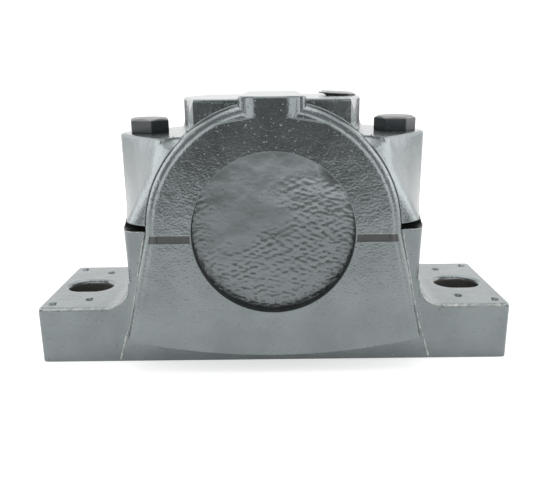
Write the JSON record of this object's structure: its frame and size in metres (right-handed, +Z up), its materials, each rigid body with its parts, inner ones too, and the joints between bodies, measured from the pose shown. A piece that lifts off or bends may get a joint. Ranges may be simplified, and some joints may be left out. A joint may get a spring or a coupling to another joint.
{
  "type": "split plummer block",
  "caption": "Split cast plummer block with slotted feet, a bolted cap, a blind front end, and a self-aligning ball bearing on an adapter sleeve open to the rear.",
  "frame": {"origin": "middle of the machined underside of the base", "axes": "+X along the feet to the end under the grease plug's side, +Y along the shaft towards the open end, +Z up"},
  "size_m": [0.205, 0.0876, 0.1145],
  "materials": {
    "casting_paint": "semi-gloss dark grey paint over rough cast iron",
    "bolt_steel": "blackened steel under a thin coat of paint",
    "ground_steel": "ground and polished bearing steel",
    "plain_steel": "turned steel",
    "cage_brass": "machined brass",
    "seal_rubber": "matt black nitrile rubber",
    "plug_plastic": "grey plastic plug"
  },
  "bodies": {
    "base": {"housing_base": "casting_paint", "dowel_pin_left": "plain_steel", "dowel_pin_right": "plain_steel", "end_cover": "casting_paint", "end_cover_ring": "seal_rubber", "seal_lower_half": "seal_rubber", "locating_ring_front": "plain_steel", "locating_ring_rear": "plain_steel", "bearing_outer_ring": "ground_steel"},
    "cap": {"housing_cap": "casting_paint", "seal_upper_half": "seal_rubber"},
    "bolt_left": {"cap_bolt_left": "bolt_steel"},
    "bolt_right": {"cap_bolt_right": "bolt_steel"},
    "plug": {"lubrication_plug": "plug_plastic"},
    "shaft_group": {"adapter_sleeve": "plain_steel", "bearing_inner_ring": "ground_steel", "lock_washer": "plain_steel", "lock_nut": "plain_steel"},
    "cage_group": {"bearing_cage": "cage_brass", "ball_row_front": "ground_steel", "ball_row_rear": "ground_steel"}
  },
  "joints": [
    {"name": "cap_lift", "type": "slide", "parent": "base", "child": "cap", "axis": [0, 0, 1], "range_m": [0, 0.065]},
    {"name": "cap_bolt_left_draw", "type": "slide", "parent": "cap", "child": "bolt_left", "axis": [0, 0, 1], "range_m": [0, 0.062]},
    {"name": "cap_bolt_right_draw", "type": "slide", "parent": "cap", "child": "bolt_right", "axis": [0, 0, 1], "range_m": [0, 0.062]},
    {"name": "plug_draw", "type": "slide", "parent": "cap", "child": "plug", "axis": [0, 0, 1], "range_m": [0, 0.012]},
    {"name": "shaft_spin", "type": "hinge", "parent": "base", "child": "shaft_group", "pos_m": [0, 0, 0.06], "axis": [0, 1, 0], "continuous": true},
    {"name": "cage_spin", "type": "hinge", "parent": "base", "child": "cage_group", "pos_m": [0, 0, 0.06], "axis": [0, 1, 0], "continuous": true}
  ],
  "couplings": [
    {"joint": "cage_spin", "follows": "shaft_spin", "ratio": 0.435}
  ]
}
